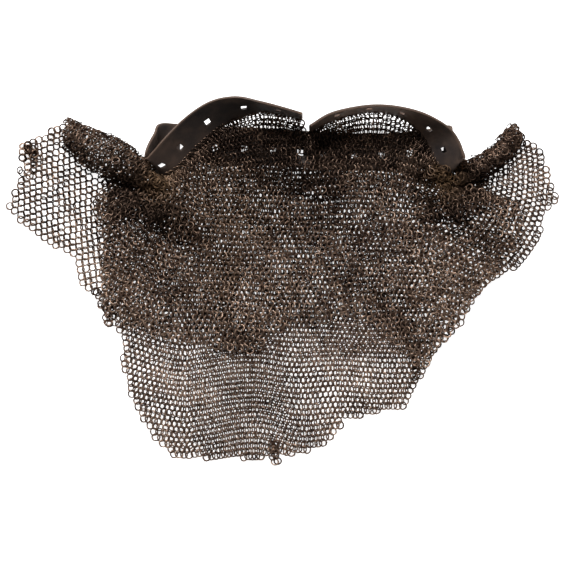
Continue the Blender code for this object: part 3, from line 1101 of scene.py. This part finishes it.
def strap_shares():
    """Places across the strap, from its lower edge up: also at the slots' ends."""
    stops = (0, SLOT_RISE - SLOT_LENGTH / 2, SLOT_RISE + SLOT_LENGTH / 2, STRAP_WIDTH)
    runs = [np.linspace(start, stop, parts + 1)[1:]
            for start, stop, parts in zip(stops, stops[1:], CROSS_PARTS)]
    return np.concatenate([[0], *runs])


def slot_cells(places):
    """The cells of the strap's grid that lie in a slot."""
    low_row, slot_rows, _ = CROSS_PARTS
    cells = set()
    for place in SLOT_PLACES:
        first = nearest(places, place - SLOT_WIDTH / 2)
        last = nearest(places, place + SLOT_WIDTH / 2)
        cells |= {(i, low_row + j) for i in range(first, last) for j in range(slot_rows)}
    return cells


def strap_attributes(places, shares):
    """Where the leather is worn and frayed, and where it has a painted sheen, at each point of both
    its sides.
    """
    from_edge = np.minimum(shares, STRAP_WIDTH - shares)
    wear = np.tile(np.clip(1 - from_edge / WEAR_REACH, 0, 1), len(places))
    fray = np.repeat(np.clip(1 - places / FRAY_REACH, 0, 1), len(shares))
    painted_sheen = sum(amount * np.exp(-((places - at) / reach) ** 2) for at, reach, amount in STRAP_SHEENS)
    painted_sheen = np.repeat(painted_sheen, len(shares))
    return {"wear": np.tile(wear, 2), "fray": np.tile(fray, 2),
            "painted_sheen": np.concatenate([NECK_SIDE_SHEEN * painted_sheen, painted_sheen])}


def make_strap(material):
    """Makes the strap. Gives its line with outward normals, and its shift from its table."""
    edge, across, length, outward = strap_path()
    places, shares = strap_places(length[-1]), strap_shares()
    foot = read_along(places, length, edge)
    up = unit(read_along(places, length, across))
    neckward = unit(np.cross(np.gradient(foot + 0.5 * STRAP_WIDTH * up, axis=0), up))
    bulge = 1 - (2 * (shares / STRAP_WIDTH)[None] - 1) ** 2
    crown = STRAP_CROWN * up[:, 2][:, None] * bulge
    middle = (foot[:, None] + shares[None, :, None] * up[:, None]
              + crown[..., None] * neckward[:, None])
    half = 0.5 * STRAP_THICKNESS * neckward[:, None]
    points = np.vstack([(middle + half).reshape(-1, 3), (middle - half).reshape(-1, 3)])
    low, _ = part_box("neck_strap")
    shift = np.array(low) / MM - points.min(0)
    faces = wall_faces(len(places), len(shares), slot_cells(places))
    strap = make_mesh("leather_strap", points + shift, faces, strap_attributes(places, shares),
                      material, "neck_strap")
    bevel = strap.modifiers.new("worn_edges", "BEVEL")
    bevel.width = BEVEL * MM
    bevel.segments = 2
    bevel.limit_method = "ANGLE"
    bevel.angle_limit = radians(50)
    return np.hstack([edge + shift, outward]), shift[:2]


def wall_faces(columns, rows, gap):
    """Quads of a closed wall with the cells in gap left open."""
    def upper(corner):
        return corner[0] * rows + corner[1]

    def lower(corner):
        return columns * rows + upper(corner)

    faces = []
    rim = {}
    for i in range(columns - 1):
        for j in range(rows - 1):
            if (i, j) in gap:
                continue
            corners = [(i, j), (i + 1, j), (i + 1, j + 1), (i, j + 1)]
            faces.append([upper(corner) for corner in corners])
            faces.append([lower(corner) for corner in reversed(corners)])
            for here, there in zip(corners, corners[1:] + corners[:1]):
                if (there, here) in rim:
                    del rim[there, here]
                else:
                    rim[here, there] = True
    for here, there in rim:
        faces.append([upper(there), upper(here), lower(here), lower(there)])
    return faces


# ---- floor, light and camera

def make_floor():
    bpy.ops.mesh.primitive_plane_add(size=30, location=(0, 0, -FLOOR_DROP * MM))
    floor = bpy.context.object
    floor.name = "floor"
    material = bpy.data.materials.new("light_table")
    material.use_nodes = True
    shader = material.node_tree.nodes["Principled BSDF"]
    shader.inputs["Base Color"].default_value = (FLOOR_WHITE, FLOOR_WHITE, FLOOR_WHITE, 1)
    shader.inputs["Emission Color"].default_value = (1, 1, 1, 1)
    shader.inputs["Emission Strength"].default_value = 0.9
    floor.data.materials.append(material)


def add_lamp(name, location, size, energy):
    """A square lamp that shines at the middle of the floor."""
    data = bpy.data.lights.new(name, "AREA")
    data.shape = "SQUARE"
    data.size = size
    data.energy = energy
    lamp = bpy.data.objects.new(name, data)
    lamp.location = location
    lamp.rotation_euler = (-Vector(location)).to_track_quat("-Z", "Y").to_euler()
    bpy.context.scene.collection.objects.link(lamp)


def make_studio():
    make_floor()
    world = bpy.data.worlds.new("studio")
    world.use_nodes = True
    background = world.node_tree.nodes["Background"]
    background.inputs["Color"].default_value = (1, 1, 1, 1)
    background.inputs["Strength"].default_value = 0.025
    bpy.context.scene.world = world
    for lamp in LAMPS:
        add_lamp(*lamp)
    bpy.context.scene.view_settings.view_transform = "Standard"


def make_camera():
    data = bpy.data.cameras.new("camera")
    data.lens = CAMERA_LENS
    data.sensor_width = 36
    data.clip_end = 50
    camera = bpy.data.objects.new("camera", data)
    height = radians(CAMERA_ELEVATION)
    away = Vector((0, -cos(height), sin(height)))
    camera.location = Vector(CAMERA_TARGET) + CAMERA_DISTANCE * away
    camera.rotation_euler = (radians(90 - CAMERA_ELEVATION), 0, 0)
    bpy.context.scene.collection.objects.link(camera)
    bpy.context.scene.camera = camera


make_camera()
make_studio()
iron = make_iron()
leather = make_leather()
strap_line, strap_shift = make_strap(leather)
left_fold = dress_fold(FOLD_LEFT, strap_shift, LEFT_FOLD_SEED)
right_fold = dress_fold(FOLD_RIGHT, strap_shift, RIGHT_FOLD_SEED)
# Columns: node, name of the ring pieces, tint, rings
make_mail((
    ("mail_back", "back_rings", BACK_TINT, dress_back(strap_shift)),
    ("mail_front", "front_rings", FRONT_TINT, dress_front(strap_line, strap_shift)),
    ("mail_fold_left", "left_fold_rings", FOLD_TINT, left_fold),
    ("mail_fold_right", "right_fold_rings", FOLD_TINT, right_fold),
), iron)
